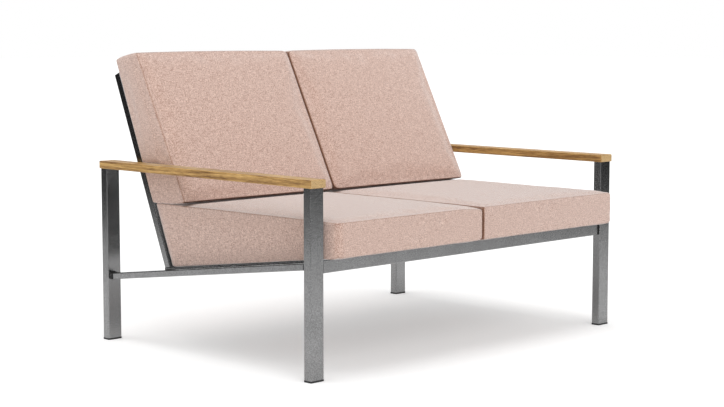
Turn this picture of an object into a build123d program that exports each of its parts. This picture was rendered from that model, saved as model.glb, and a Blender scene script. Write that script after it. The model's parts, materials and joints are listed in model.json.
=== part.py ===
from build123d import *
import math
import os

os.makedirs("parts", exist_ok=True)

# A two-seat patio loveseat: a powder-coated aluminium tube frame, two teak arm rests and four
# loose cushions. Millimetres, +Z up, front towards -Y, origin on the floor under the middle.

# Whole frame
frame_width = 1367.0  # over the outer faces of the legs
frame_depth = 969.0  # front faces of the front legs to rear faces of the rear legs
arm_underside = 547.0  # floor to the underside of the arm rests

# Legs, their glides and the plates in their tops
leg_width = 50.0
leg_depth = 30.0
leg_wall = 2.0
leg_corner = 3.0
glide_height = 5.0
glide_margin = 0.8
glide_spigot = 18.0
plug_clearance = 0.2
top_plate_thickness = 4.0

# Arm rests
arm_width = 58.0
arm_thickness = 24.0
arm_front_overhang = 5.0
arm_rear_overhang = 5.0
arm_side_overhang = 3.0
arm_edge_radius = 3.0
arm_screw_spacing = 26.0
screw_shank = 5.0
screw_head = 9.5
screw_head_height = 3.0
screw_tail = 3.0
wood_plug_diameter = 10.0
wood_plug_depth = 8.0

# Sloping seat frame, drawn on the plane that the seat cushions lie on
seat_slope = 7.6  # degrees, rising to the front
seat_front_height = 345.0  # floor to that plane, at the front face of the front rail
seat_setback = 7.0  # that face behind the front faces of the front legs
seat_frame_length = 694.5  # that face to the foot of the back, along the slope
seat_side_gap = 6.0  # inner face of a leg to the outer face of the seat frame
front_rail_height = 38.0
front_rail_depth = 20.0
rail_wall = 2.0
rail_corner = 2.5
frame_tube = 25.0  # square tube of the sides, the rear rail, the posts and the back rails
tube_wall = 1.8
tube_corner = 2.5
centre_rail_width = 25.0
centre_rail_height = 24.0
cap_spigot = 14.0
tube_cap_thickness = 3.0

# Seat slats and back slats, of one flat tube
slat_thickness = 12.0
slat_wall = 1.5
slat_corner = 2.0
seat_slat_width = 50.0
seat_slats = 6
back_slat_width = 40.0
back_slats = 6

# Side stretchers between the legs, and what joins them to the legs
stretcher_width = 30.0
stretcher_height = 20.0
stretcher_drop = 6.5  # top of the stretcher below the seat plane
end_plate_thickness = 3.0
end_block_length = 10.0
end_block_spigot = 22.0
stud_diameter = 8.0
stud_grip = 10.0  # how far the stud reaches into the spigot

# Bolts that hang the seat frame between the side stretchers
bolt_diameter = 8.0
bolt_head_diameter = 14.0
bolt_head_height = 4.4
bolt_socket = 5.0
bolt_socket_depth = 2.4
bolt_tail = 2.0
bolt_clearance = 0.2
spacer_diameter = 16.0
nut_across_flats = 13.0
nut_height = 6.5
nut_turn = 30.0  # degrees, so that two flats face the walls of the stretcher

# Back frame
back_lean = 22.5  # degrees from upright
post_length = 641.5  # foot to the top, along the front face
lower_rail_height = 60.0  # from the foot, along the post
upper_rail_drop = 18.0  # from the top of the post

# Cushions
cushion_rest_gap = 0.3
cushion_side_gap = 0.6  # behind the arm rest's inner face
cushion_middle_gap = 2.0  # between the two cushions of a pair
seat_cushion_overhang = 50.0  # in front of the front legs
seat_cushion_height = 94.6  # of its front, where it is thinnest
seat_cushion_edge = 8.0
seat_cushion_corner = 14.0
seat_cushion_crown = 7.5
back_cushion_sink = 1.9  # its corners reach down past the top of the seat cushion's crown
back_cushion_height = 439.5  # of its rear corners
back_cushion_depth_low = 168.0  # level thickness at the bottom
back_cushion_depth_high = 118.0  # level thickness at the top
back_cushion_rise = 15.0  # of its top towards the front
back_cushion_edge = 7.0
back_cushion_corner = 12.0
back_cushion_crown = 12.0
back_cushion_swell = 5.0  # rise of the top edge between its corners
cushion_draw = 2.0  # how far a side pulls in between its corners

# Shares that shape a rounded edge, as (depth below the face, inset) over the edge radius,
# and the crown, as (inset over the shorter side, rise over the crown)
edge_shares = ((0.0, 1.0), (0.134, 0.5), (0.5, 0.134), (1.0, 0.0))
crown_shares = ((0.05, 0.32), (0.12, 0.62), (0.22, 0.87), (0.36, 1.0))
crown_corner_share = 0.15
bore_corner_share = 0.4

# Places worked out from the sizes above
half_width = frame_width / 2
half_depth = (seat_cushion_overhang + frame_depth + arm_rear_overhang) / 2
front_y = seat_cushion_overhang - half_depth
rear_y = front_y + frame_depth
leg_x = half_width - leg_width / 2
seat_half = half_width - leg_width - seat_side_gap
seat_inner = seat_half - frame_tube
slope_tan = math.tan(math.radians(seat_slope))
slope_cos = math.cos(math.radians(seat_slope))
slope_sin = math.sin(math.radians(seat_slope))
lean_tan = math.tan(math.radians(back_lean))
lean_cos = math.cos(math.radians(back_lean))
lean_sin = math.sin(math.radians(back_lean))
seat_edge_y = front_y + seat_setback
rail_rear_y = seat_edge_y + front_rail_depth
foot_y = seat_edge_y + seat_frame_length * slope_cos
foot_z = seat_front_height - seat_frame_length * slope_sin
seat_plane = Plane(
    origin=(0, seat_edge_y, seat_front_height), x_dir=(1, 0, 0), z_dir=(0, slope_sin, slope_cos)
)
back_plane = Plane(
    origin=(0, foot_y, foot_z), x_dir=(1, 0, 0), z_dir=(0, -lean_cos, lean_sin)
)
sides = {"left": -1, "right": 1}


def seat_z(y):
    """Height of the seat plane at a place from front to back."""
    return seat_front_height - (y - seat_edge_y) * slope_tan


def back_y(z):
    """Place of the front of the back frame at a height."""
    return foot_y + (z - foot_z) * lean_tan


def tube(width, depth, length, wall, corner):
    """Rectangular tube standing on the origin, open at both ends."""
    outline = RectangleRounded(width, depth, corner)
    bore = RectangleRounded(width - 2 * wall, depth - 2 * wall, corner * bore_corner_share)
    return extrude(outline - bore, length)


def end_plug(width, depth, wall, corner, flange, spigot, margin=0):
    """Plastic plug of a tube: a flange under the origin and a spigot that stands in the bore."""
    face = RectangleRounded(width + 2 * margin, depth + 2 * margin, corner + margin)
    inner_width = width - 2 * wall - 2 * plug_clearance
    inner_depth = depth - 2 * wall - 2 * plug_clearance
    stem = RectangleRounded(inner_width, inner_depth, corner * bore_corner_share)
    return extrude(face, -flange) + extrude(stem, spigot)


def leg():
    """Leg tube, standing on its glide."""
    return Pos(0, 0, glide_height) * tube(
        leg_width, leg_depth, arm_underside - glide_height, leg_wall, leg_corner
    )


def glide():
    """Black glide pressed into the foot of a leg."""
    return Pos(0, 0, glide_height) * end_plug(
        leg_width, leg_depth, leg_wall, leg_corner, glide_height, glide_spigot, glide_margin
    )


def screw_places():
    """The two screws of one leg, from the middle of the leg."""
    return [Pos(across, 0, 0) for across in (-arm_screw_spacing / 2, arm_screw_spacing / 2)]


def top_plate():
    """Plate welded flush into the top of a leg, drilled for the arm screws."""
    face = RectangleRounded(
        leg_width - 2 * leg_wall, leg_depth - 2 * leg_wall, leg_corner * bore_corner_share
    )
    for place in screw_places():
        face -= place * Circle(screw_shank / 2)
    return Pos(0, 0, arm_underside - top_plate_thickness) * extrude(face, top_plate_thickness)


def leg_ys():
    """Middles of the front and the rear leg."""
    return {"front": front_y + leg_depth / 2, "rear": rear_y - leg_depth / 2}


def arm(side):
    """Teak arm rest with rounded edges and plugged screw holes over both legs."""
    inner = arm_width - leg_width - arm_side_overhang
    length = frame_depth + arm_front_overhang + arm_rear_overhang
    middle_x = side * (leg_x + (arm_side_overhang - inner) / 2)
    middle_y = front_y + frame_depth / 2 + (arm_rear_overhang - arm_front_overhang) / 2
    middle_z = arm_underside + arm_thickness / 2
    board = Box(arm_width, length, arm_thickness)
    board = fillet(board.edges(), arm_edge_radius)
    board = Pos(middle_x, middle_y, middle_z) * board
    top = arm_underside + arm_thickness
    for y in leg_ys().values():
        for place in screw_places():
            hole = Pos(side * leg_x, y, top) * place
            board -= hole * counterbore(wood_plug_diameter, wood_plug_depth + screw_head_height)
            board -= hole * counterbore(screw_shank, arm_thickness)
    return board


def counterbore(diameter, depth):
    """Round cutter hanging from the origin."""
    return extrude(Circle(diameter / 2), -depth)


def arm_screws(side):
    """The four screws of one arm rest, heads under their wooden plugs."""
    head_top = arm_underside + arm_thickness - wood_plug_depth
    shank = arm_thickness - wood_plug_depth - screw_head_height + top_plate_thickness + screw_tail
    screw = extrude(Circle(screw_head / 2), -screw_head_height)
    screw += Pos(0, 0, -screw_head_height) * extrude(Circle(screw_shank / 2), -shank)
    return group(
        Pos(side * leg_x, y, head_top) * place * screw
        for y in leg_ys().values()
        for place in screw_places()
    )


def arm_plugs(side):
    """Teak plugs that close the screw holes flush with the top of the arm."""
    plug = extrude(Circle(wood_plug_diameter / 2), -wood_plug_depth)
    top = arm_underside + arm_thickness
    return group(
        Pos(side * leg_x, y, top) * place * plug
        for y in leg_ys().values()
        for place in screw_places()
    )


def group(solids):
    """Separate like solids in one node."""
    return Compound(children=[part.solid() for part in solids])


def stretcher_run(width, height, start, length, corner=rail_corner):
    """Solid bar along a side stretcher, cut upright at both ends."""
    middle_z = seat_z(start) - stretcher_drop - stretcher_height / slope_cos / 2
    section = Plane(origin=(0, start, middle_z), x_dir=(1, 0, 0), z_dir=(0, -1, 0))
    outline = section * RectangleRounded(width, height / slope_cos, corner)
    return extrude(outline, length / slope_cos, dir=(0, slope_cos, -slope_sin))


def stretcher_ends():
    """Start and length of the plate, the block and its spigot at both ends."""
    front = front_y + leg_depth
    rear = rear_y - leg_depth
    return {
        "front": (front, front + end_plate_thickness, 1),
        "rear": (rear, rear - end_plate_thickness, -1),
    }


def along_stretcher(width, height, start, length, way):
    """The same bar, drawn from its start towards the middle of the stretcher."""
    first = start if way > 0 else start - length
    return stretcher_run(width, height, first, length)


def stretcher(side):
    """Side stretcher tube between its two end blocks."""
    ends = end_plate_thickness + end_block_length
    start = front_y + leg_depth + ends
    length = frame_depth - 2 * leg_depth - 2 * ends
    inner_width = stretcher_width - 2 * rail_wall
    inner_height = stretcher_height - 2 * rail_wall
    inner_corner = rail_corner * bore_corner_share
    bar = stretcher_run(stretcher_width, stretcher_height, start, length)
    bar -= stretcher_run(inner_width, inner_height, start, length, inner_corner)
    bar = Pos(side * leg_x, 0, 0) * bar
    for place in bolt_places(side):
        bar -= place * bolt_hole()
    return bar


def stretcher_end_plates(side):
    """Plates welded on the legs, which the stretcher butts against through its blocks."""
    return group(
        Pos(side * leg_x, 0, 0)
        * along_stretcher(stretcher_width, stretcher_height, face, end_plate_thickness, way)
        for face, _, way in stretcher_ends().values()
    )


def end_stud(start, way):
    """Place and length of the stud that stands on an end plate."""
    length = end_block_length + stud_grip
    middle_y = start + way * length / 2
    middle_z = seat_z(middle_y) - stretcher_drop - stretcher_height / slope_cos / 2
    return Pos(0, middle_y, middle_z), length


def round_bar(diameter, length):
    """Round bar along Y, centred on the origin."""
    return Rot(90, 0, 0) * Cylinder(diameter / 2, length)


def stretcher_end_blocks(side):
    """Black blocks between the plates and the tube, with a spigot in the tube."""
    blocks = []
    spigot_cut = 2 * rail_wall + 2 * plug_clearance
    for _, start, way in stretcher_ends().values():
        block = along_stretcher(stretcher_width, stretcher_height, start, end_block_length, way)
        block += along_stretcher(
            stretcher_width - spigot_cut,
            stretcher_height - spigot_cut,
            start + way * end_block_length,
            end_block_spigot,
            way,
        )
        place, length = end_stud(start, way)
        block -= place * round_bar(stud_diameter + bolt_clearance, length)
        blocks.append(Pos(side * leg_x, 0, 0) * block)
    return group(blocks)


def stretcher_studs():
    """Studs on the end plates, which the blocks slide over."""
    studs = []
    for side in sides.values():
        for _, start, way in stretcher_ends().values():
            place, length = end_stud(start, way)
            studs.append(Pos(side * leg_x, 0, 0) * place * round_bar(stud_diameter, length))
    return group(studs)


def cross_tube(height, depth, length, wall, corner):
    """Tube along X, centred on the origin."""
    return Rot(0, 90, 0) * Pos(0, 0, -length / 2) * tube(height, depth, length, wall, corner)


def long_tube(width, height, length, wall, corner):
    """Tube from the origin along Y."""
    return Rot(-90, 0, 0) * tube(width, height, length, wall, corner)


def front_rail_middle(x):
    """Middle of the upright front rail, its top rear corner on the seat plane."""
    return Pos(x, rail_rear_y - front_rail_depth / 2, seat_z(rail_rear_y) - front_rail_height / 2)


def front_rail():
    """Deep front rail of the seat frame, which stands upright."""
    rail = cross_tube(front_rail_height, front_rail_depth, 2 * seat_half, rail_wall, rail_corner)
    return front_rail_middle(0) * rail


def front_rail_cap(side):
    """Black end cap of the front rail, which bears on the inner face of the front leg."""
    cap = end_plug(
        front_rail_height, front_rail_depth, rail_wall, rail_corner, seat_side_gap, cap_spigot
    )
    return front_rail_middle(side * seat_half) * Rot(0, -side * 90, 0) * cap


def frame_start():
    """Rear face of the front rail, along the slope."""
    return front_rail_depth / slope_cos


def cut_at_rail(bar):
    """A sloping bar with its front end cut upright, to butt against the front rail."""
    rail_face = Plane(origin=(0, rail_rear_y, 0), x_dir=(1, 0, 0), z_dir=(0, 1, 0))
    return split(bar, bisect_by=rail_face, keep=Keep.TOP)


def seat_side_end():
    """Rear ends of the side tubes along the slope; their caps end below the rear of the posts."""
    post_rear = frame_tube / math.cos(math.radians(back_lean - seat_slope))
    return seat_frame_length + post_rear - tube_cap_thickness


def seat_side_tube(side):
    """Side tube of the seat frame, from the front rail to under the back post."""
    bar = long_tube(frame_tube, frame_tube, seat_side_end(), tube_wall, tube_corner)
    bar = seat_plane * Pos(side * (seat_half - frame_tube / 2), 0, -frame_tube / 2) * bar
    bar = cut_at_rail(bar)
    for bolt in bolt_places(side):
        bar -= bolt * bolt_hole()
    return bar


def seat_tube_caps():
    """Black caps in the rear ends of the side tubes."""
    cap = end_plug(
        frame_tube, frame_tube, tube_wall, tube_corner, tube_cap_thickness, cap_spigot
    )
    return group(
        seat_plane
        * Pos(side * (seat_half - frame_tube / 2), seat_side_end(), -frame_tube / 2)
        * Rot(90, 0, 0)
        * cap
        for side in sides.values()
    )


def rear_rail_front():
    """Front of the rear seat rail, along the slope."""
    return seat_frame_length - frame_tube


def rear_rail():
    """Rear rail of the seat frame, under the rear edge of the cushions."""
    rail = cross_tube(frame_tube, frame_tube, 2 * seat_inner, tube_wall, tube_corner)
    return seat_plane * Pos(0, rear_rail_front() + frame_tube / 2, -frame_tube / 2) * rail


def centre_rail():
    """Rail from front to back under the middle of the seat slats."""
    length = rear_rail_front()
    bar = long_tube(centre_rail_width, centre_rail_height, length, tube_wall, tube_corner)
    drop = slat_thickness + centre_rail_height / 2
    return cut_at_rail(seat_plane * Pos(0, 0, -drop) * bar)


def seat_slat_gap():
    """Even space between the seat slats and the rails."""
    free = rear_rail_front() - frame_start() - seat_slats * seat_slat_width
    return free / (seat_slats + 1)


def seat_slat(index):
    """One flat cross slat, welded between the side tubes and over the centre rail."""
    gap = seat_slat_gap()
    middle = frame_start() + gap + seat_slat_width / 2 + index * (gap + seat_slat_width)
    slat = cross_tube(slat_thickness, seat_slat_width, 2 * seat_inner, slat_wall, slat_corner)
    return seat_plane * Pos(0, middle, -slat_thickness / 2) * slat


def bolt_places(side):
    """Bolt lines from a side tube outwards, behind the first slat and before the last."""
    drop = stretcher_drop * slope_cos + stretcher_height / 2
    inner_face = side * seat_inner
    turn = Rot(0, side * 90, 0)
    pitch = seat_slat_gap() + seat_slat_width
    first = frame_start() + seat_slat_gap() / 2
    return [
        seat_plane * Pos(inner_face, first + slats * pitch, -drop) * turn
        for slats in (1, seat_slats - 1)
    ]


def spacer_length():
    """Space between a side tube and its stretcher."""
    return half_width - leg_width / 2 - stretcher_width / 2 - seat_half


def bolt_reach():
    """Length of a bolt under its head."""
    return frame_tube + spacer_length() + rail_wall + nut_height + bolt_tail


def bolt_hole():
    """Cutter for a bolt, from the inner face of a side tube outwards."""
    return extrude(Circle((bolt_diameter + bolt_clearance) / 2), bolt_reach())


def seat_bolts():
    """Button-head bolts with hex sockets, heads on the inner faces of the side tubes."""
    head = extrude(Circle(bolt_head_diameter / 2), -bolt_head_height)
    head = fillet(head.faces().sort_by(Axis.Z)[0].edges(), bolt_head_height / 2)
    socket = RegularPolygon(bolt_socket / 2, 6, major_radius=False)
    head -= Pos(0, 0, -bolt_head_height) * extrude(socket, bolt_socket_depth)
    bolt = head + extrude(Circle(bolt_diameter / 2), bolt_reach())
    return group(place * bolt for side in sides.values() for place in bolt_places(side))


def seat_spacers():
    """Round spacers on the bolts, between the side tubes and the stretchers."""
    ring = Circle(spacer_diameter / 2) - Circle((bolt_diameter + bolt_clearance) / 2)
    spacer = Pos(0, 0, frame_tube) * extrude(ring, spacer_length())
    return group(place * spacer for side in sides.values() for place in bolt_places(side))


def weld_nuts():
    """Nuts welded inside the stretchers, which the bolts screw into."""
    hexagon = RegularPolygon(nut_across_flats / 2, 6, major_radius=False, rotation=nut_turn)
    ring = hexagon - Circle((bolt_diameter + bolt_clearance) / 2)
    nut = Pos(0, 0, frame_tube + spacer_length() + rail_wall) * extrude(ring, nut_height)
    return group(place * nut for side in sides.values() for place in bolt_places(side))


def back_post(side):
    """Leaning back post, its foot cut to the slope of the side tube it is welded on."""
    post = Rot(-90, 0, 0) * tube(frame_tube, frame_tube, post_length, tube_wall, tube_corner)
    post = back_plane * Pos(side * (seat_half - frame_tube / 2), 0, -frame_tube / 2) * post
    return split(post, bisect_by=seat_plane, keep=Keep.TOP)


def back_post_cap(side):
    """Black cap in the top of a back post."""
    cap = end_plug(
        frame_tube, frame_tube, tube_wall, tube_corner, tube_cap_thickness, cap_spigot
    )
    place = Pos(side * (seat_half - frame_tube / 2), post_length, -frame_tube / 2)
    return back_plane * place * Rot(90, 0, 0) * cap


def back_rail(height):
    """Cross rail between the posts, its lower face at a height along them."""
    rail = cross_tube(frame_tube, frame_tube, 2 * seat_inner, tube_wall, tube_corner)
    return back_plane * Pos(0, height + frame_tube / 2, -frame_tube / 2) * rail


def upper_rail_height():
    """Lower face of the upper back rail."""
    return post_length - upper_rail_drop - frame_tube


def back_slat(index):
    """One upright flat slat between the two back rails, flush with their fronts."""
    foot = lower_rail_height + frame_tube
    slat = Rot(-90, 0, 0) * tube(
        back_slat_width, slat_thickness, upper_rail_height() - foot, slat_wall, slat_corner
    )
    pitch = 2 * seat_inner / back_slats
    middle = pitch * (index + 1 / 2) - seat_inner
    return back_plane * Pos(middle, foot, -slat_thickness / 2) * slat


def towards(start, end, distance):
    """Point at a distance from a start towards an end, as (y, z)."""
    span = math.hypot(end[0] - start[0], end[1] - start[1])
    return (
        start[0] + (end[0] - start[0]) * distance / span,
        start[1] + (end[1] - start[1]) * distance / span,
    )


def cushion_section(near, far, width, inset, corner, swell=0):
    """Outline of a cushion at one level: drawn-in sides, round corners and a swelled far side."""
    length = math.hypot(far[0] - near[0], far[1] - near[1])
    rise_y = (far[0] - near[0]) / length
    rise_z = (far[1] - near[1]) / length
    middle = (0, (near[0] + far[0]) / 2, (near[1] + far[1]) / 2)
    plane = Plane(origin=middle, x_dir=(1, 0, 0), z_dir=(0, -rise_z, rise_y))
    half_w = width / 2 - inset
    half_l = length / 2 - inset
    bend = corner * (1 - math.sqrt(1 / 2))
    draw = cushion_draw
    ring = [
        ((half_w, corner - half_l), (half_w - draw, 0)),
        ((half_w, half_l - corner), (half_w - bend, half_l - bend)),
        ((half_w - corner, half_l), (0, half_l - draw + swell)),
        ((corner - half_w, half_l), (bend - half_w, half_l - bend)),
        ((-half_w, half_l - corner), (draw - half_w, 0)),
        ((-half_w, corner - half_l), (bend - half_w, bend - half_l)),
        ((corner - half_w, -half_l), (0, draw - half_l)),
        ((half_w - corner, -half_l), (half_w - bend, bend - half_l)),
    ]
    edges = []
    for index, (start, through) in enumerate(ring):
        end = ring[(index + 1) % len(ring)][0]
        edges.append(ThreePointArc(start, through, end))
    return plane * make_face(edges)


def cushion(base, face, width, edge, corner, crown, swell=0):
    """Padded cushion lofted from its base to its crowned face, each a pair of (y, z) ends."""
    sections = []
    for depth, inset in edge_shares:
        near = towards(base[0], face[0], depth * edge)
        far = towards(base[1], face[1], depth * edge)
        sections.append(cushion_section(near, far, width, inset * edge, corner, swell))
    near = [(base[0][i] + face[0][i]) / 2 for i in range(2)]
    far = [(base[1][i] + face[1][i]) / 2 for i in range(2)]
    sections.append(cushion_section(near, far, width, 0, corner, swell))
    for depth, inset in reversed(edge_shares):
        near = towards(face[0], base[0], depth * edge)
        far = towards(face[1], base[1], depth * edge)
        sections.append(cushion_section(near, far, width, inset * edge, corner, swell))
    length = math.hypot(face[1][0] - face[0][0], face[1][1] - face[0][1])
    out_y = -(face[1][1] - face[0][1]) / length
    out_z = (face[1][0] - face[0][0]) / length
    for inset, rise in crown_shares:
        near = (face[0][0] + out_y * rise * crown, face[0][1] + out_z * rise * crown)
        far = (face[1][0] + out_y * rise * crown, face[1][1] + out_z * rise * crown)
        margin = edge + inset * min(width, length)
        radius = corner + crown_corner_share * margin
        sections.append(cushion_section(near, far, width, margin, radius, swell * (1 - rise)))
    return loft(sections, ruled=True)


def cushion_width():
    """Width of one cushion: half of the room between the arm rests."""
    inner_face = half_width - leg_width - (arm_width - leg_width - arm_side_overhang)
    return inner_face - cushion_side_gap - cushion_middle_gap / 2


def cushion_x(side):
    """Middle of a cushion from side to side."""
    return side * (cushion_middle_gap / 2 + cushion_width() / 2)


def seat_cushion_base():
    """Height of the underside of a seat cushion at its front."""
    return seat_z(-half_depth) + cushion_rest_gap / slope_cos


def seat_cushion_top():
    """Height of the edges of a seat cushion's level top."""
    return seat_cushion_base() + seat_cushion_height


def seat_cushion(side):
    """Wedge-shaped seat cushion that lies on the slope, with a level top."""
    back_gap = cushion_rest_gap / lean_cos
    rear = foot_z + cushion_rest_gap / slope_cos
    top = seat_cushion_top()
    base = ((-half_depth, seat_cushion_base()), (back_y(rear) - back_gap, rear))
    face = ((-half_depth, top), (back_y(top) - back_gap, top))
    pad = cushion(
        base, face, cushion_width(), seat_cushion_edge, seat_cushion_corner, seat_cushion_crown
    )
    return Pos(cushion_x(side), 0, 0) * pad


def back_cushion(side):
    """Leaning back cushion that stands on the seat cushion, thinner at its top."""
    low = seat_cushion_top() + seat_cushion_crown - back_cushion_sink
    high = low + back_cushion_height
    back_gap = cushion_rest_gap / lean_cos
    low_y = back_y(low) - back_gap
    high_y = back_y(high) - back_gap
    base = ((low_y, low), (high_y, high))
    face = (
        (low_y - back_cushion_depth_low, low),
        (high_y - back_cushion_depth_high, high + back_cushion_rise),
    )
    pad = cushion(
        base,
        face,
        cushion_width(),
        back_cushion_edge,
        back_cushion_corner,
        back_cushion_crown,
        back_cushion_swell,
    )
    return Pos(cushion_x(side), 0, 0) * pad


def pieces():
    """Every node and its solids."""
    made = {}
    for name, side in sides.items():
        for end, y in leg_ys().items():
            place = Pos(side * leg_x, y, 0)
            made[f"leg_{end}_{name}"] = place * leg()
            made[f"foot_glide_{end}_{name}"] = place * glide()
        made[f"leg_top_plates_{name}"] = group(
            Pos(side * leg_x, y, 0) * top_plate() for y in leg_ys().values()
        )
        made[f"arm_rest_{name}"] = arm(side)
        made[f"arm_screws_{name}"] = arm_screws(side)
        made[f"arm_plugs_{name}"] = arm_plugs(side)
        made[f"side_stretcher_{name}"] = stretcher(side)
        made[f"stretcher_end_plates_{name}"] = stretcher_end_plates(side)
        made[f"stretcher_end_blocks_{name}"] = stretcher_end_blocks(side)
        made[f"front_rail_cap_{name}"] = front_rail_cap(side)
        made[f"seat_side_tube_{name}"] = seat_side_tube(side)
        made[f"back_post_{name}"] = back_post(side)
        made[f"back_post_cap_{name}"] = back_post_cap(side)
        made[f"seat_cushion_{name}"] = seat_cushion(side)
        made[f"back_cushion_{name}"] = back_cushion(side)
    made["stretcher_studs"] = stretcher_studs()
    made["seat_front_rail"] = front_rail()
    made["seat_rear_rail"] = rear_rail()
    made["seat_centre_rail"] = centre_rail()
    made["seat_tube_caps"] = seat_tube_caps()
    made["seat_bolts"] = seat_bolts()
    made["seat_spacers"] = seat_spacers()
    made["seat_weld_nuts"] = weld_nuts()
    made["back_lower_rail"] = back_rail(lower_rail_height)
    made["back_upper_rail"] = back_rail(upper_rail_height())
    for index in range(seat_slats):
        made[f"seat_slat_{index + 1}"] = seat_slat(index)
    for index in range(back_slats):
        made[f"back_slat_{index + 1}"] = back_slat(index)
    return made


for node, solid in pieces().items():
    export_step(solid, f"parts/{node}.step")
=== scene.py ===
import json
import math

import bmesh
import bpy
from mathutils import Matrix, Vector, noise
from mathutils.bvhtree import BVHTree


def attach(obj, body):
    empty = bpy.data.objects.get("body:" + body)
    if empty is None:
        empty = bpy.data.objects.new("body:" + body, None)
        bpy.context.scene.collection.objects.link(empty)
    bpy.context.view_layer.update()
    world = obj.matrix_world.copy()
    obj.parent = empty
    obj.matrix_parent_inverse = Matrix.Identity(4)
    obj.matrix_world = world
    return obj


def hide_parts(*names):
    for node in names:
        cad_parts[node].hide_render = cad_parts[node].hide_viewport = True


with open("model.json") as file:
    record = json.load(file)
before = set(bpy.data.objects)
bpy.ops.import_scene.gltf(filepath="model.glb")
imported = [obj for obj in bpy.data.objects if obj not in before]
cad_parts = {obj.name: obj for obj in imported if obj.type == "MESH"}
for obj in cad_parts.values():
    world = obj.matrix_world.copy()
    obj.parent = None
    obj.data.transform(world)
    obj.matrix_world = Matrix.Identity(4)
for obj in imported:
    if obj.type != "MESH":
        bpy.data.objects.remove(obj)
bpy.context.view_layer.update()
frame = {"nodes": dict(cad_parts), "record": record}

MM = 0.001
scene = bpy.context.scene
scene.view_settings.view_transform = "Standard"


# Camera: it stands low in front of the left arm rest and looks along the loveseat with a long lens.
camera_place = (-3.8815, -3.8703, 0.9942)
camera_dip = 0.1040
camera_turn = 0.7840

camera_data = bpy.data.cameras.new("camera")
camera_data.lens = 84.47
camera_data.sensor_width = 36.0
camera = bpy.data.objects.new("camera", camera_data)
camera.location = camera_place
camera.rotation_euler = (math.pi / 2 - camera_dip, 0.0, -camera_turn)
scene.collection.objects.link(camera)
scene.camera = camera


# Studio: a plain pale floor under a white sky, a broad soft light overhead and a weaker one in front.
# Tall flags stand round it, dark to the left and right and grey in front, and only what is metal or
# glossy shows them.
plain_white = (1.0, 1.0, 1.0, 1.0)
sky_light = 0.66
lamps = {
    "overhead_softbox": {"energy": 1.10, "spread": 42.0, "towards": (0.14, 0.0, -1.0)},
    "front_softbox": {"energy": 0.80, "spread": 50.0, "towards": (0.35, 1.0, -0.60)},
}
floor_half = 40.0
floor_bounce = (0.95, 0.95, 0.95, 1.0)
floor_shown = (0.86, 0.86, 0.86, 1.0)
floor_glow = 0.26
flag_distance = 3.5
flag_height = 3.0
flag_steps = 24
flags = {
    "flag_right": {"middle": -45.0, "half": 58.0, "grey": 0.04},
    "flag_left": {"middle": 135.0, "half": 58.0, "grey": 0.04},
    "flag_front": {"middle": -135.0, "half": 31.0, "grey": 0.30},
}


def add(tree, kind, settings=None, **inputs):
    """A shader node with its settings, and its inputs as values or as sockets to link."""
    made = tree.nodes.new(kind)
    for name, value in (settings or {}).items():
        setattr(made, name, value)
    for name, value in inputs.items():
        socket = made.inputs[name.replace("_", " ")]
        if isinstance(value, bpy.types.NodeSocket):
            tree.links.new(value, socket)
        else:
            socket.default_value = value
    return made


def new_material(name):
    """An empty material, its node tree and its output."""
    material = bpy.data.materials.new(name)
    material.use_nodes = True
    tree = material.node_tree
    tree.nodes.clear()
    return material, tree, tree.nodes.new("ShaderNodeOutputMaterial")


def maths(tree, operation, first, second=0.0):
    """One sum on two numbers."""
    made = tree.nodes.new("ShaderNodeMath")
    made.operation = operation
    for socket, value in zip(made.inputs, (first, second)):
        if isinstance(value, bpy.types.NodeSocket):
            tree.links.new(value, socket)
        else:
            socket.default_value = value
    return made.outputs[0]


def seen_directly(tree):
    """1 for what the camera sees, also in a reflection or through glass, and 0 for other light."""
    path = tree.nodes.new("ShaderNodeLightPath").outputs
    either = maths(tree, "MAXIMUM", path["Is Camera Ray"], path["Is Glossy Ray"])
    return maths(tree, "MAXIMUM", either, path["Is Transmission Ray"])


def mesh_object(name, bm):
    """A new object from a bmesh, which it frees."""
    mesh = bpy.data.meshes.new(name)
    bm.to_mesh(mesh)
    bm.free()
    made = bpy.data.objects.new(name, mesh)
    scene.collection.objects.link(made)
    return made


world = bpy.data.worlds.new("studio")
world.use_nodes = True
tree = world.node_tree
tree.nodes.clear()
strength = maths(tree, "ADD", sky_light, maths(tree, "MULTIPLY", seen_directly(tree), 1.0 - sky_light))
sky = add(tree, "ShaderNodeBackground", Color=plain_white, Strength=strength)
tree.links.new(sky.outputs[0], tree.nodes.new("ShaderNodeOutputWorld").inputs["Surface"])
scene.world = world

for name, lamp in lamps.items():
    data = bpy.data.lights.new(name, "SUN")
    data.energy = lamp["energy"]
    data.angle = math.radians(lamp["spread"])
    sun = bpy.data.objects.new(name, data)
    sun.rotation_euler = Vector(lamp["towards"]).to_track_quat("-Z", "Y").to_euler()
    scene.collection.objects.link(sun)

floor_bm = bmesh.new()
bmesh.ops.create_grid(floor_bm, x_segments=1, y_segments=1, size=floor_half)
floor = mesh_object("floor", floor_bm)
material, tree, out = new_material("pale_floor")
matt = add(tree, "ShaderNodeBsdfDiffuse", Color=floor_bounce)
shown = add(tree, "ShaderNodeBsdfDiffuse", Color=floor_shown)
glow = add(tree, "ShaderNodeEmission", Color=plain_white, Strength=floor_glow)
lifted = tree.nodes.new("ShaderNodeAddShader")
tree.links.new(shown.outputs[0], lifted.inputs[0])
tree.links.new(glow.outputs[0], lifted.inputs[1])
either = tree.nodes.new("ShaderNodeMixShader")
tree.links.new(seen_directly(tree), either.inputs[0])
tree.links.new(matt.outputs[0], either.inputs[1])
tree.links.new(lifted.outputs[0], either.inputs[2])
tree.links.new(either.outputs[0], out.inputs["Surface"])
floor.data.materials.append(material)

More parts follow.
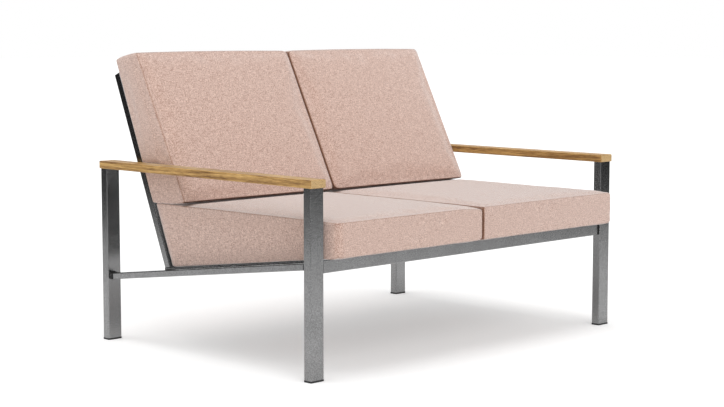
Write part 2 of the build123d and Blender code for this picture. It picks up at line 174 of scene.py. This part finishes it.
for name, cut in flags.items():
    material, tree, out = new_material(name)
    face = add(tree, "ShaderNodeEmission", Color=plain_white, Strength=cut["grey"])
    tree.links.new(face.outputs[0], out.inputs["Surface"])
    flag_bm = bmesh.new()
    first = math.radians(cut["middle"] - cut["half"])
    start = Vector((math.cos(first), math.sin(first), 0.0)) * flag_distance
    foot = bmesh.ops.create_vert(flag_bm, co=start)["vert"]
    top = bmesh.ops.create_vert(flag_bm, co=start + Vector((0.0, 0.0, flag_height)))["vert"]
    upright = flag_bm.edges.new(foot + top)
    bmesh.ops.spin(
        flag_bm,
        geom=foot + top + [upright],
        cent=(0.0, 0.0, 0.0),
        axis=(0.0, 0.0, 1.0),
        angle=math.radians(2 * cut["half"]),
        steps=flag_steps,
    )
    flag = mesh_object(name, flag_bm)
    flag.data.materials.append(material)
    for kind in ("camera", "diffuse", "shadow", "transmission", "volume_scatter"):
        setattr(flag, f"visible_{kind}", False)


# Frame: square and flat aluminium tube, welded and powder coated in a dark gunmetal with a fine
# sandy texture. The CAD pieces keep their shape and only take the coating.
coating_roughness = 0.24
coating_dark = (0.196, 0.196, 0.197, 1.0)
coating_light = (0.316, 0.317, 0.319, 1.0)
coating_tones = (0.40, 0.60)
coating_grain = 1.0 / (3.2 * MM)
coating_patches = 9.0
patch_share = 0.15
coating_bump = 0.09 * MM


def ramp(tree, factor, *stops):
    """A colour ramp of (place, colour) stops."""
    made = add(tree, "ShaderNodeValToRGB", Fac=factor)
    points = made.color_ramp.elements
    while len(points) < len(stops):
        points.new(0.5)
    for point, (place, colour) in zip(points, stops):
        point.position = place
        point.color = colour
    return made.outputs["Color"]


def speckle(tree, vector, scale, detail=2.0, roughness=0.5, distortion=0.0):
    """Noise on a vector, from 0 to 1."""
    made = add(tree, "ShaderNodeTexNoise", Vector=vector, Scale=scale, Detail=detail)
    made.inputs["Roughness"].default_value = roughness
    made.inputs["Distortion"].default_value = distortion
    return made.outputs["Fac"]


def blend(tree, first, second, share):
    """Two numbers mixed by a fixed share of the second."""
    kept = maths(tree, "MULTIPLY", first, 1.0 - share)
    return maths(tree, "ADD", kept, maths(tree, "MULTIPLY", second, share))


def stretched(tree, vector, scale):
    """A vector scaled apart along its three axes."""
    return add(tree, "ShaderNodeMapping", Vector=vector, Scale=scale).outputs[0]


def bumped(tree, height, distance, strength):
    """The normal of a surface raised by a height."""
    return add(tree, "ShaderNodeBump", Height=height, Distance=distance, Strength=strength).outputs[0]


def surfaced(tree, out, **inputs):
    """Ends a material with a surface that has these inputs."""
    surface = add(tree, "ShaderNodeBsdfPrincipled", **inputs)
    tree.links.new(surface.outputs[0], out.inputs["Surface"])


def coat(slots, material):
    """Gives the CAD nodes of some material slots one material."""
    for row in frame["record"]["subparts"]:
        if row["material_slot"] in slots:
            mesh = frame["nodes"][row["node"]].data
            mesh.materials.clear()
            mesh.materials.append(material)


material, tree, out = new_material("gunmetal_powder_coat")
place = add(tree, "ShaderNodeTexCoord").outputs["Object"]
grain = speckle(tree, place, coating_grain, detail=3.0, roughness=0.7)
tone = blend(tree, grain, speckle(tree, place, coating_patches), patch_share)
colour = ramp(tree, tone, (coating_tones[0], coating_dark), (coating_tones[1], coating_light))
raised = bumped(tree, grain, coating_bump, strength=0.8)
surfaced(tree, out, Base_Color=colour, Metallic=1.0, Roughness=coating_roughness, Normal=raised)
coat(("frame_coating",), material)


# Glides, tube caps and stretcher blocks: small matt black plastic mouldings, pressed into the ends of
# the tubes, or clamped between a stretcher and its leg.
plastic_colour = (0.012, 0.012, 0.013, 1.0)
plastic_grain = 1.0 / (0.8 * MM)
plastic_bump = 0.04 * MM
plastic_rough = (0.42, 0.16)

material, tree, out = new_material("black_plastic")
place = add(tree, "ShaderNodeTexCoord").outputs["Object"]
grain = speckle(tree, place, plastic_grain)
rough = maths(tree, "ADD", plastic_rough[0], maths(tree, "MULTIPLY", grain, plastic_rough[1]))
raised = bumped(tree, grain, plastic_bump, strength=0.6)
surfaced(tree, out, Base_Color=plastic_colour, Roughness=rough, Normal=raised)
coat(("glide_plastic", "black_plastic"), material)


# Bolts, nuts, studs and wood screws: plain stainless steel with fine turning marks. They hold the
# seat frame between the stretchers, the stretchers on the legs and the arm rests on top.
steel_colour = (0.50, 0.50, 0.51, 1.0)
steel_marks = (2600.0, 2600.0, 900.0)
steel_rough = (0.22, 0.20)

material, tree, out = new_material("stainless_steel")
place = add(tree, "ShaderNodeTexCoord").outputs["Object"]
marks = speckle(tree, stretched(tree, place, steel_marks), 1.0, detail=3.0)
rough = maths(tree, "ADD", steel_rough[0], maths(tree, "MULTIPLY", marks, steel_rough[1]))
surfaced(tree, out, Base_Color=steel_colour, Metallic=1.0, Roughness=rough)
coat(("fastener_steel",), material)


# Arm rests: one flat teak board on each side, oiled, with eased edges and the grain along its length.
# They are screwed down on the legs, and each is cut from its own part of the plank.
teak_light = (0.780, 0.500, 0.180, 1.0)
teak_middle = (0.470, 0.265, 0.078, 1.0)
teak_dark = (0.160, 0.070, 0.018, 1.0)
teak_tones = (0.40, 0.515, 0.65)
grain_sway = (5.0, 1.1, 5.0)
grain_swing = (0.030, 0.0, 0.022)
grain_bands = (150.0, 3.0, 150.0)
grain_flecks = (700.0, 26.0, 700.0)
grain_pores = (1700.0, 70.0, 1700.0)
fleck_share = 0.45
pore_colour = (0.55, 0.52, 0.48, 1.0)
pore_tones = (0.30, 0.42)
pore_share = 0.75
end_light = (0.660, 0.450, 0.210, 1.0)
end_dark = (0.360, 0.220, 0.085, 1.0)
end_tones = (0.35, 0.62)
end_grain = (260.0, 260.0, 620.0)
end_facing = 0.8
teak_rough = (0.62, 0.22)
teak_bump = 0.25 * MM
plank_places = {"left": (0.0, 0.0, 0.0), "right": (0.31, 0.47, 0.0)}


def teak(name, shift, turned=False):
    """Oiled teak with its grain along Y, or along X when turned."""
    material, tree, out = new_material(name)
    coordinates = add(tree, "ShaderNodeTexCoord").outputs
    place = add(tree, "ShaderNodeMapping", Vector=coordinates["Object"], Location=shift).outputs[0]
    if turned:
        place = add(tree, "ShaderNodeMapping", Vector=place, Rotation=(0.0, 0.0, math.pi / 2)).outputs[0]
    sway = speckle(tree, stretched(tree, place, grain_sway), 1.0)
    swung = add(tree, "ShaderNodeVectorMath", {"operation": "MULTIPLY_ADD"})
    tree.links.new(add(tree, "ShaderNodeCombineXYZ", X=sway, Z=sway).outputs[0], swung.inputs[0])
    swung.inputs[1].default_value = grain_swing
    tree.links.new(place, swung.inputs[2])
    swung = swung.outputs[0]
    banded, flecked, pored = [stretched(tree, swung, s) for s in (grain_bands, grain_flecks, grain_pores)]
    bands = speckle(tree, banded, 1.0, detail=5.0, roughness=0.62, distortion=0.6)
    flecks = speckle(tree, flecked, 1.0, detail=3.0, roughness=0.65)
    pores = speckle(tree, pored, 1.0, detail=1.0)
    both = blend(tree, bands, flecks, fleck_share)
    along = ramp(tree, both, *zip(teak_tones, (teak_dark, teak_middle, teak_light)))
    ended = stretched(tree, place, end_grain)
    ends = speckle(tree, ended, 1.0, detail=4.0, roughness=0.6, distortion=0.8)
    across = ramp(tree, ends, *zip(end_tones, (end_dark, end_light)))
    facing = add(tree, "ShaderNodeSeparateXYZ", Vector=coordinates["Normal"]).outputs["X" if turned else "Y"]
    at_end = maths(tree, "GREATER_THAN", maths(tree, "ABSOLUTE", facing), end_facing)
    face = add(tree, "ShaderNodeMixRGB", Fac=at_end, Color1=along, Color2=across).outputs[0]
    pore = ramp(tree, pores, *zip(pore_tones, (pore_colour, plain_white)))
    darker = {"blend_type": "MULTIPLY"}
    colour = add(tree, "ShaderNodeMixRGB", darker, Fac=pore_share, Color1=face, Color2=pore).outputs[0]
    rough = maths(tree, "SUBTRACT", teak_rough[0], maths(tree, "MULTIPLY", both, teak_rough[1]))
    raised = bumped(tree, both, teak_bump, strength=0.7)
    surfaced(tree, out, Base_Color=colour, Roughness=rough, Normal=raised)
    return material


for hand, shift in plank_places.items():
    board = frame["nodes"][f"arm_rest_{hand}"].data
    board.materials.clear()
    board.materials.append(teak(f"teak_{hand}", shift))


# Arm plugs: short teak dowels glued over the screw heads and sanded flush, their grain across the
# arm, with the fine ring that the glue line leaves.
plug_radius = 5.0 * MM
plug_depth = 8.0 * MM
plug_ease = 0.35 * MM
plug_spacing = 26.0 * MM
plug_sides = 32
leg_x = 658.5 * MM
leg_ys = (-447.0 * MM, 492.0 * MM)
arm_top = 571.0 * MM
dowel_place = (0.13, 0.21, 0.0)

plug_wood = teak("teak_plug", dowel_place, turned=True)
for side, hand in ((-1, "left"), (1, "right")):
    plug_bm = bmesh.new()
    for y in leg_ys:
        for across in (-plug_spacing / 2, plug_spacing / 2):
            made = bmesh.ops.create_cone(
                plug_bm,
                cap_ends=True,
                segments=plug_sides,
                radius1=plug_radius,
                radius2=plug_radius,
                depth=plug_depth,
            )["verts"]
            middle = Vector((side * leg_x + across, y, arm_top - plug_depth / 2))
            bmesh.ops.translate(plug_bm, verts=made, vec=middle)
    rims = [e for e in plug_bm.edges if all(v.co.z > arm_top - plug_ease for v in e.verts)]
    bmesh.ops.bevel(
        plug_bm, geom=rims, offset=plug_ease, affect="EDGES", segments=2, profile=0.5, material=-1
    )
    plugs = mesh_object(f"arm_plugs_teak_{hand}", plug_bm)
    plugs.data.materials.append(plug_wood)
    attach(plugs, "frame")
    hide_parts(f"arm_plugs_{hand}")


# Seat cushions: two wedges of foam in blush-pink covers, each sewn from two panels and a strip round
# the sides. They lie loose on the slope, with level tops, and reach forward over the front rail.
# Their lengths are in millimetres, worked out for the right one of a pair and mirrored for the left.

# The cover: threads, colours and seams, and shade painted into its colour along the seams, in the joints and
# under the back cushions.
thread_pitch = 1.7 * MM
heather_size = 2.6 * MM
slub_scales = ((420.0, 45.0, 1.0), (45.0, 420.0, 1.0))
slub_share = 0.35
cover_pale = (0.780, 0.580, 0.495, 1.0)
cover_blush = (0.562, 0.382, 0.316, 1.0)
cover_rose = (0.360, 0.208, 0.160, 1.0)
cover_tones = (0.41, 0.50, 0.59)
weave_height = 0.30 * MM
cover_roughness = 0.92
nap_roughness = 0.50
stitch_pitch = 6.5 * MM
pucker_reach = 9.0 * MM
pucker_height = 0.9 * MM
seam_width = 1.6
seam_depth = 1.0
# Painted shade in the cover's colour: darker along the seams, in the joints between the cushions and in the
# slots under the back cushions, and redder as it darkens.
seam_shade = 0.28
shade_warmth = (1.34, 1.62)
painted_joint_shadow = 0.58
joint_shadow_width = 2.5
joint_shadow_reach = 14.0
top_share = {"under": 0.78, "over": 1.0}
slot_shade = 0.92
foot_shade = 0.92
slot_reach = 12.0

# The grid of a cushion, and how much its foam fills the cover.
rim_lines = (0.0, 1.6, 4.0, 8.0, 14.0)
grid_pitch = 14.0
rim_radius = 3.0
strip_fullness = 4
unevenness = 0.8
unevenness_size = 170.0
unevenness_seed = 1
foam_pressure = 1.6
foam_frames = 16
foam_cap = 5.0
foam_rim = 32.0
foam_rounding = 1.5
strip_give = 0.25
cover_quality = 6
cover_mass = 0.3
cover_tension = 25.0
cover_shear = 10.0
cover_bending = 1.5
cover_growth = -0.008
least_move = 1e-6

# The room of the cushions: the middle, the arms, the seat's slope and the back frame.
pad_inner = 0.3
pad_outer = 627.9
pad_room = 632.0
arm_top_level = 576.0
rest_gap = 0.35
seat_edge = (-455.0, 345.0)
slope_tan = math.tan(math.radians(7.6))
back_foot = (233.403, 253.149)
lean_tan = math.tan(math.radians(22.5))
back_bottom = 453.1
back_depth_low = 168.0
back_press = 1.4
press_slope = 0.15
joint_lean = 14.0

# The shape of the seat cushions: how far the strips bulge, how far the corners of the two panels
# droop and over what reach, the rounding at the joint and at the outer side, and how far the top
# sinks at the joint, over what reach, and whether the corners at the joint droop as well.
seat_front = -512.0
seat_top = 447.5
seat_crown = 11.5
seat_strips = {"near": 2.0, "far": 0.0, "inner": 1.45, "outer": 0.0}
seat_droop = {"face": (4.0, 18.0), "base": (7.0, 18.0)}
seat_corner = {"left": (8.0, 24.0), "right": (8.0, 12.0)}
seat_dip = {"left": (5.6, 60.0, True), "right": (0.4, 5.0, False)}
front_sag = 3.2
front_fill = 2.2


def woven_cover():
    """Heavy outdoor weave of slightly different pink threads, with a nap that pales at a grazing view, and
    shade painted along its seams, joints and slots.
    """
    material, tree, out = new_material("blush_weave")
    coordinates = add(tree, "ShaderNodeTexCoord").outputs
    uv = add(tree, "ShaderNodeSeparateXYZ", Vector=coordinates["UV"]).outputs
    turns = math.pi / thread_pitch
    warp = maths(tree, "ABSOLUTE", maths(tree, "SINE", maths(tree, "MULTIPLY", uv["X"], turns)))
    weft = maths(tree, "ABSOLUTE", maths(tree, "SINE", maths(tree, "MULTIPLY", uv["Y"], turns)))
    squares = add(tree, "ShaderNodeTexChecker", Vector=coordinates["UV"], Scale=1.0 / thread_pitch)
    over = squares.outputs["Fac"]
    under = maths(tree, "SUBTRACT", 1.0, over)
    woven = maths(tree, "ADD", maths(tree, "MULTIPLY", warp, over), maths(tree, "MULTIPLY", weft, under))
    heather = speckle(tree, coordinates["Object"], 1.0 / heather_size, detail=3.0, roughness=0.65)
    slubs = [speckle(tree, stretched(tree, coordinates["UV"], scale), 1.0) for scale in slub_scales]
    tone = blend(tree, heather, blend(tree, *slubs, 0.5), slub_share)
    yarn = ramp(tree, tone, *zip(cover_tones, (cover_rose, cover_blush, cover_pale)))

    # Painted shade: the cover is darker along its seams, in the joints between the cushions and in the slots
    # under the back cushions, redder as it darkens, and its sheen is dimmed by the same shade.
    kind = "ShaderNodeAttribute"
    marks = [add(tree, kind, {"attribute_name": key}) for key in ("rim", "run", "painted_shadow")]
    rim, run, painted_shadow = [mark.outputs["Fac"] for mark in marks]
    seam = maths(tree, "DIVIDE", rim, seam_width * MM)
    seam = maths(tree, "EXPONENT", maths(tree, "MULTIPLY", maths(tree, "MULTIPLY", seam, seam), -1.0))
    shade = maths(tree, "SUBTRACT", 1.0, maths(tree, "MULTIPLY", seam, seam_shade))
    shade = maths(tree, "MULTIPLY", shade, maths(tree, "SUBTRACT", 1.0, painted_shadow))
    green, blue = [maths(tree, "POWER", shade, power) for power in shade_warmth]
    warm_shade = add(tree, "ShaderNodeCombineXYZ", X=shade, Y=green, Z=blue).outputs[0]
    darker = {"blend_type": "MULTIPLY"}
    colour = add(tree, "ShaderNodeMixRGB", darker, Fac=1.0, Color1=yarn, Color2=warm_shade).outputs[0]

    near = maths(tree, "EXPONENT", maths(tree, "DIVIDE", rim, -pucker_reach))
    stitch = maths(tree, "SINE", maths(tree, "MULTIPLY", run, 2 * math.pi / stitch_pitch))
    pucker = maths(tree, "MULTIPLY", maths(tree, "MULTIPLY", stitch, near), pucker_height / weave_height)
    height = maths(tree, "ADD", maths(tree, "ADD", woven, heather), pucker)
    surfaced(
        tree,
        out,
        Base_Color=colour,
        Roughness=cover_roughness,
        Specular_IOR_Level=0.0,
        Sheen_Weight=shade,
        Sheen_Roughness=nap_roughness,
        Normal=bumped(tree, height, weave_height, strength=0.6),
    )
    return material


def seat_plane_z(y):
    """Height of the sloping seat at a place from front to back."""
    return seat_edge[1] - (y - seat_edge[0]) * slope_tan


def back_plane_y(z):
    """Place of the front of the back frame at a height."""
    return back_foot[0] + (z - back_foot[1]) * lean_tan


def lines(length):
    """Places of the grid lines from one side to the other, close together at both rims."""
    inner = length - 2 * rim_lines[-1]
    steps = max(2, round(inner / grid_pitch))
    middle = [rim_lines[-1] + inner * i / steps for i in range(1, steps)]
    return list(rim_lines) + middle + [length - place for place in reversed(rim_lines)]


def block_grid(sizes):
    """A closed box of grid lines, its layers, and each point's distances from its first three sides."""
    places = [lines(size) for size in sizes]
    bm = bmesh.new()
    bmesh.ops.create_cube(bm, size=2.0)
    for axis in range(3):
        along = [e for e in bm.edges if abs(e.verts[0].co[axis] - e.verts[1].co[axis]) > 1.0]
        bmesh.ops.subdivide_edges(bm, edges=along, cuts=len(places[axis]) - 2, use_grid_fill=True)
    layers = {key: bm.verts.layers.float.new(key) for key in ("rim", "run", "give", "painted_shadow")}
    weave = bm.loops.layers.uv.new("weave")
    spots = {}
    for vert in bm.verts:
        steps = [round((vert.co[i] + 1) / 2 * (len(places[i]) - 1)) for i in range(3)]
        spots[vert] = [places[i][steps[i]] for i in range(3)]
    for face in bm.faces:
        axis = max(range(3), key=lambda i: abs(face.normal[i]))
        across, up = ((1, 2), (0, 2), (0, 1))[axis]
        for loop in face.loops:
            spot = spots[loop.vert]
            loop[weave].uv = (spot[across] * MM, spot[up] * MM)
        face.smooth = True
    return bm, layers, spots


def on_rim(inset, depth):
    """A point's distances inside the side and the panel, moved on to the round of the rim."""
    if inset >= rim_radius or depth >= rim_radius:
        return inset, depth
    across, up = rim_radius - inset, rim_radius - depth
    share = rim_radius / math.hypot(across, up)
    return rim_radius - across * share, rim_radius - up * share


def in_plan(first, second, inset, new_inset, corner_radius):
    """The same for a point's distances inside two sides, on the round of the corner between them."""
    reach = 2 * corner_radius
    moved = [d + (new_inset - inset) * max(0.0, 1 - (d - inset) / reach) for d in (first, second)]
    if max(moved) < corner_radius and new_inset < corner_radius:
        out = [corner_radius - d for d in moved]
        share = (corner_radius - new_inset) / math.hypot(*out)
        moved = [corner_radius - d * share for d in out]
    return moved


def joint_shade(x, ahead, below, slot):
    """The painted shadow of a cover at a distance from its joint, its near or far side and its panel."""
    beside = math.exp(-((x / joint_shadow_width) ** 2))
    deep = math.exp(-((ahead / joint_shadow_reach) ** 2))
    deep = max(deep, top_share[slot] * math.exp(-((below / joint_shadow_reach) ** 2)))
    return painted_joint_shadow * beside * deep


def boxed_block(name, corners, crown, swell, strips, droop, dip, corner_radius, plump, slot, seed):
    """A sewn block from the (y, z) corners of its base and its face, near and far, in millimetres."""
    base_near, base_far, face_near, face_far = [Vector(c) for c in corners]
    face_run = face_far - face_near
    face_out = Vector((-face_run[1], face_run[0])).normalized()
    length = (face_run.length + (base_far - base_near).length) / 2
    thick = ((base_near - face_near).length + (base_far - face_far).length) / 2
    sizes = (pad_outer - pad_inner - strips["inner"], length, thick)
    edge = rim_lines[-1]
    rim_dip, rim_reach, rounded = dip
    bm, layers, spots = block_grid(sizes)
    for vert, spot in spots.items():
        inside = [min(spot[i], sizes[i] - spot[i]) for i in range(3)]
        inset = min(inside[0], inside[1])
        vert[layers["rim"]] = max(inset, inside[2]) * MM
        vert[layers["run"]] = (spot[0] + spot[1]) * MM
        # Painted shadow beside the joint between the two cushions, fading away from their edges.
        vert[layers["painted_shadow"]] = joint_shade(spot[0], inside[1], inside[2], slot)
        give = min(1.0, max(inset, inside[2]) / foam_rim) ** foam_rounding
        vert[layers["give"]] = give if inset > 0 else give * strip_give

        # The point on the box with rounded rims and corners.
        new_inset, depth = on_rim(inset, inside[2])
        radius = corner_radius[spot[0] > sizes[0] / 2]
        moved = in_plan(inside[0], inside[1], inset, new_inset, radius)
        x, along = [m if spot[i] < sizes[i] / 2 else sizes[i] - m for i, m in enumerate(moved)]
        share = along / length
        low, high = base_near.lerp(base_far, share), face_near.lerp(face_far, share)
        up = (high - low).normalized()
        if inside[2] > edge:
            part = (spot[2] - edge) / (thick - 2 * edge)
            point = (low + up * edge).lerp(high - up * edge, part)
        elif spot[2] < thick / 2:
            point = low + up * depth
        else:
            point = high - up * depth

        # The crown of the face, the swell of the far end and the fullness of the strips.
        a, b = 2 * x / sizes[0] - 1, 2 * share - 1
        tall = spot[2] / thick
        puff = 1 - (2 * tall - 1) ** strip_fullness
        if spot[2] == sizes[2]:
            point = point + face_out * crown * ((1 - a * a) * (1 - b * b)) ** 0.5
        point = point + face_run.normalized() * swell * (1 - a * a) * max(0.0, b)
        if spot[1] in (0.0, sizes[1]):
            way = strips["far"] if spot[1] else -strips["near"]
            point = point + face_run.normalized() * way * puff

        # The face sinks towards the joint and the corners droop.
        sunk = rim_dip * math.exp(-((spot[0] / rim_reach) ** 2))
        point = point - face_out * sunk * max(0.0, 2 * tall - 1)
        corner = math.hypot(inside[0] if rounded else sizes[0] - spot[0], inside[1])
        for panel, away, sign in (("face", 1 - tall, -1), ("base", tall, 1)):
            drop, reach = droop[panel]
            fade = max(0.0, 1 - corner / reach) ** 2 * max(0.0, 1 - 2 * away)
            point = point + up * sign * drop * fade
        if spot[0] in (0.0, sizes[0]):
            x += strips["outer"] * puff if spot[0] else -strips["inner"] * puff * (1 - b**4)
        point[0] -= plump * x / sizes[0] * tall

        # The painted shadow in the slot between a seat cushion and its back cushion.
        in_slot = 0.0
        if slot == "under" and spot[2] == sizes[2]:
            in_slot = slot_shade * math.exp(-(((point[0] - back_front_low) / slot_reach - 1) ** 2))
        if slot == "over" and spot[1] == 0:
            in_slot = foot_shade * math.exp(-((thick - spot[2]) / slot_reach))
        vert[layers["painted_shadow"]] = max(vert[layers["painted_shadow"]], in_slot)

        vert.co = (x + pad_inner + strips["inner"], point[0], point[1])
        uneven = noise.noise_vector(vert.co / unevenness_size + seed)
        vert.co += uneven * unevenness * min(1.0, (inset + inside[2]) / edge)
    bmesh.ops.scale(bm, vec=(MM, MM, MM), verts=bm.verts)
    bmesh.ops.recalc_face_normals(bm, faces=bm.faces)
    return mesh_object(name, bm)


def filled(pad):
    """Blows the cover up as cloth, as its foam does, and keeps each point near its place."""
    before = [v.co.copy() for v in pad.data.vertices]
    cloth = pad.modifiers.new("foam", "CLOTH")
    cloth.point_cache.frame_start = 1
    cloth.point_cache.frame_end = foam_frames
    cloth.settings.quality = cover_quality
    cloth.settings.mass = cover_mass
    cloth.settings.tension_stiffness = cloth.settings.compression_stiffness = cover_tension
    cloth.settings.shear_stiffness = cover_shear
    cloth.settings.bending_stiffness = cover_bending
    cloth.settings.shrink_min = cover_growth
    cloth.settings.use_pressure = True
    cloth.settings.uniform_pressure_force = foam_pressure
    cloth.settings.effector_weights.gravity = 0.0
    for step in range(1, foam_frames + 1):
        scene.frame_set(step)
    blown = pad.evaluated_get(bpy.context.evaluated_depsgraph_get()).data
    moves = [after.co - start for after, start in zip(blown.vertices, before)]
    drift = sum(moves, Vector()) / len(moves)
    gives = pad.data.attributes["give"].data
    for vert, start, move, give in zip(pad.data.vertices, before, moves, gives):
        move = (move - drift) * give.value
        vert.co = start + move * min(1.0, foam_cap * MM / max(move.length, least_move))
    pad.modifiers.remove(cloth)
    scene.frame_set(1)


def finished_pad(name, node, side, limit, **shape):
    """One cushion: shaped, filled, subdivided, seamed, kept in its room and declared."""
    pad = boxed_block(name, **shape)
    filled(pad)
    smooth = pad.modifiers.new("round", "SUBSURF")
    smooth.levels = smooth.render_levels = 1
    mesh = bpy.data.meshes.new_from_object(pad.evaluated_get(bpy.context.evaluated_depsgraph_get()))
    pad.modifiers.clear()
    pad.data = mesh
    shifts = []
    for vert, rim in zip(mesh.vertices, mesh.attributes["rim"].data):
        pinch = math.exp(-((rim.value / (seam_width * MM)) ** 2))
        shifts.append(vert.normal * -(seam_depth * MM * pinch))
    for vert, shift in zip(mesh.vertices, shifts):
        x, y, z = limit(*((vert.co + shift) / MM))
        x = min(max(x, pad_inner), pad_room if z > arm_top_level else pad_outer)
        lean = joint_lean * max(0.0, (back_front_low - y) / (back_front_low - seat_front))
        vert.co = Vector((side * x - lean * (1 - x / pad_room), y, z)) * MM
    if side < 0:
        mesh.flip_normals()
    mesh.materials.append(cover)
    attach(pad, name)
    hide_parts(node)
    # The metal mirrors the studio without the cushions, which would turn the rails pink.
    pad.visible_glossy = False
    return pad


def seat_limit(x, y, z):
    """Keeps a seat cushion's point on the slope, before the back frame and under the back cushion."""
    y = max(y, seat_front)
    z = max(z, seat_plane_z(max(y, seat_edge[0])) + rest_gap)
    if z > seat_top - rim_radius:
        z = min(z, back_bottom - back_press + max(0.0, back_front_low - y) * press_slope)
    return x, min(y, back_plane_y(z) - rest_gap), z


back_front_low = back_plane_y(back_bottom) - back_depth_low
seat_low = back_foot[1] + rest_gap
seat_corners = (
    (seat_front, seat_plane_z(seat_front) + rest_gap - front_sag),
    (back_plane_y(seat_low) - rest_gap, seat_low),
    (seat_front, seat_top + front_fill),
    (back_plane_y(seat_top) - rest_gap, seat_top),
)
# Without a seed the noise starts from the clock, and the cushions come out different at each run.
noise.seed_set(unevenness_seed)
cover = woven_cover()
seat_tops = {}
for side, hand in ((-1, "left"), (1, "right")):
    pad = finished_pad(
        f"seat_pad_{hand}",
        f"seat_cushion_{hand}",
        side,
        seat_limit,
        corners=seat_corners,
        crown=seat_crown,
        swell=0.0,
        strips=seat_strips,
        droop=seat_droop,
        dip=seat_dip[hand],
        corner_radius=seat_corner[hand],
        plump=0.0,
        slot="under",
        seed=Vector((side, 0.0, 0.0)),
    )
    seat_tops[side] = BVHTree.FromPolygons(
        [v.co.copy() for v in pad.data.vertices], [tuple(f.vertices) for f in pad.data.polygons]
    )


# Back cushions: two thinner blocks in the same covers, which stand on the seat cushions and lean on
# the back frame, crowned to the front and level along the top.
back_top = 889.0
back_rise = 23.0
back_depth_high = 118.0
back_crown = 12.0
back_swell = 3.0
back_strips = {"near": 6.0, "far": 5.0, "inner": 1.45, "outer": 3.0}
back_droop = {"face": (4.0, 20.0), "base": (0.0, 20.0)}
back_corner = (18.0, 6.0)
back_dip = (3.0, 5.0, False)
back_plump = {"left": -9.0, "right": 5.5}
seam_lift = 6.0
rear_drop = 5.0
drape_height = 40.0
probe_inset = 1.0


def draped(side):
    """A limit that lays the bottom of a back cushion on its seat cushion, before the back frame."""

    def limit(x, y, z):
        if z < back_bottom + drape_height:
            start = Vector((side * max(x, pad_inner + probe_inset), y, seat_top + drape_height)) * MM
            hit = seat_tops[side].ray_cast(start, Vector((0.0, 0.0, -1.0)))[0]
            level = hit.z / MM if hit and hit.z / MM > seat_top - drape_height else seat_top
            z = max(z, level + rest_gap)
        return x, min(y, back_plane_y(z) - rest_gap), z

    return limit


back_low_y = back_plane_y(back_bottom) - rest_gap
back_high_y = back_plane_y(back_top) - rest_gap
back_corners = (
    (back_low_y, back_bottom - rear_drop),
    (back_high_y, back_top),
    (back_low_y - back_depth_low, back_bottom + seam_lift),
    (back_high_y - back_depth_high, back_top + back_rise),
)
for side, hand in ((-1, "left"), (1, "right")):
    finished_pad(
        f"back_pad_{hand}",
        f"back_cushion_{hand}",
        side,
        draped(side),
        corners=back_corners,
        crown=back_crown,
        swell=back_swell,
        strips=back_strips,
        droop=back_droop,
        dip=back_dip,
        corner_radius=back_corner,
        plump=back_plump[hand],
        slot="over",
        seed=Vector((side, 0.0, 5.0)),
    )
